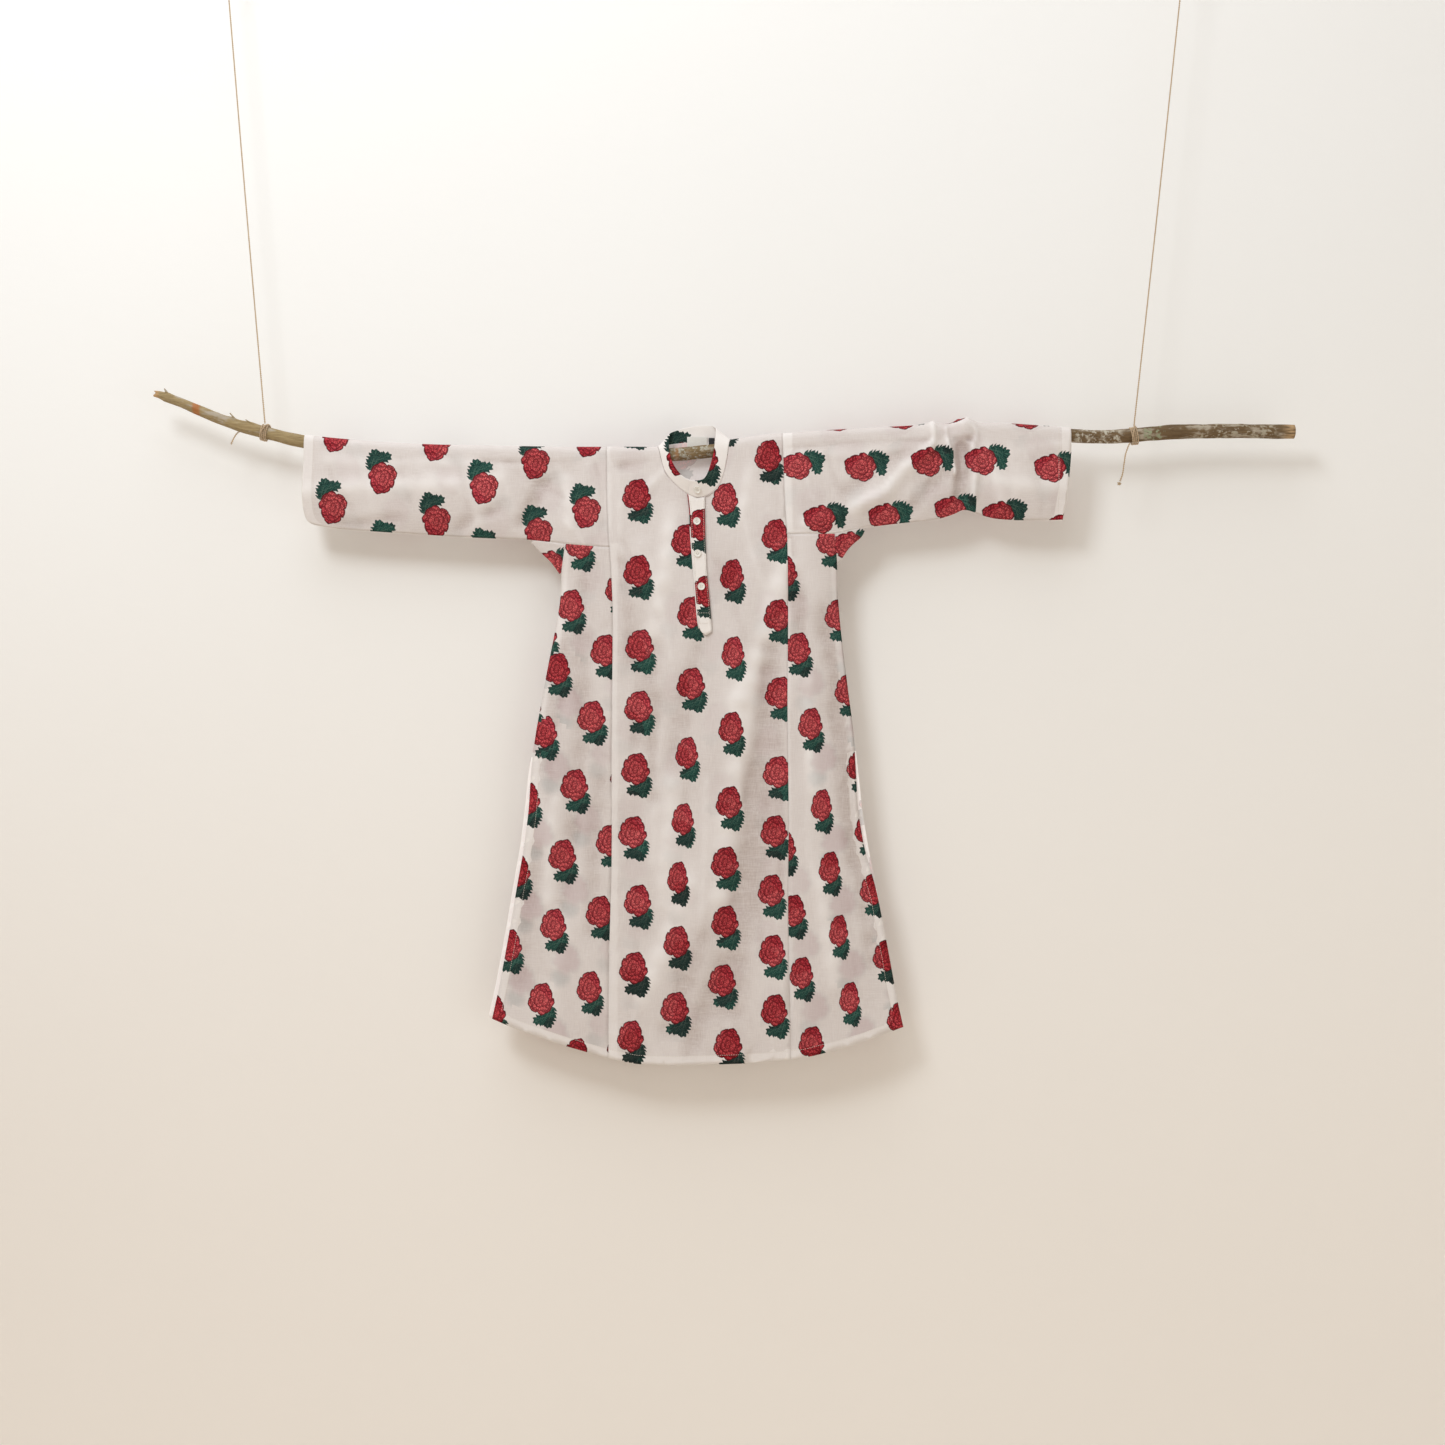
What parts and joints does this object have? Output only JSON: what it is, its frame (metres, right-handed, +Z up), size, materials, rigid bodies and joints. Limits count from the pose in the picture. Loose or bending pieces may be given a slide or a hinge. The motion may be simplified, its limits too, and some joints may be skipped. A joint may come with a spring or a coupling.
{
  "type": "kurta tunic hung on a branch",
  "caption": "Long printed cotton kurta with a band collar and button strip, its straight sleeves threaded on a wooden branch that hangs from strings.",
  "frame": {"origin": "on the branch's centre line, midway between its two strings, where the branch holds the garment", "axes": "+X along the branch, to the right when the kurta's front is seen; +Y from the front of the kurta to its back; +Z up"},
  "size_m": [1.7769, 0.0463, 1.7099],
  "materials": {
    "cotton": "thin slubby off-white cotton printed with scattered red roses",
    "button": "white four-hole shirt button",
    "label": "plain white woven tape",
    "tab": "plain black woven tape",
    "bark": "dry thin bark with pale lichen",
    "jute": "two-ply jute string"
  },
  "bodies": {
    "root": {"front_centre": "cotton", "back_centre_upper": "cotton", "back_centre_lower": "cotton", "sleeve_left": "cotton", "sleeve_right": "cotton", "gusset_left": "cotton", "gusset_right": "cotton", "side_front_left": "cotton", "side_front_right": "cotton", "side_back_left": "cotton", "side_back_right": "cotton", "collar": "cotton", "placket_top": "cotton", "placket_under": "cotton", "button_1": "button", "button_2": "button", "button_3": "button", "button_4": "button", "neck_label": "label", "size_tab": "tab", "branch_left_end": "bark", "branch_left": "bark", "branch_middle": "bark", "branch_right": "bark", "string_left": "jute", "string_right": "jute", "wrap_left": "jute", "wrap_right": "jute", "tail_left": "jute", "tail_right": "jute", "tail_knot": "jute", "knot_left": "jute", "knot_right": "jute", "loop_left": "jute", "loop_right": "jute"}
  },
  "joints": []
}
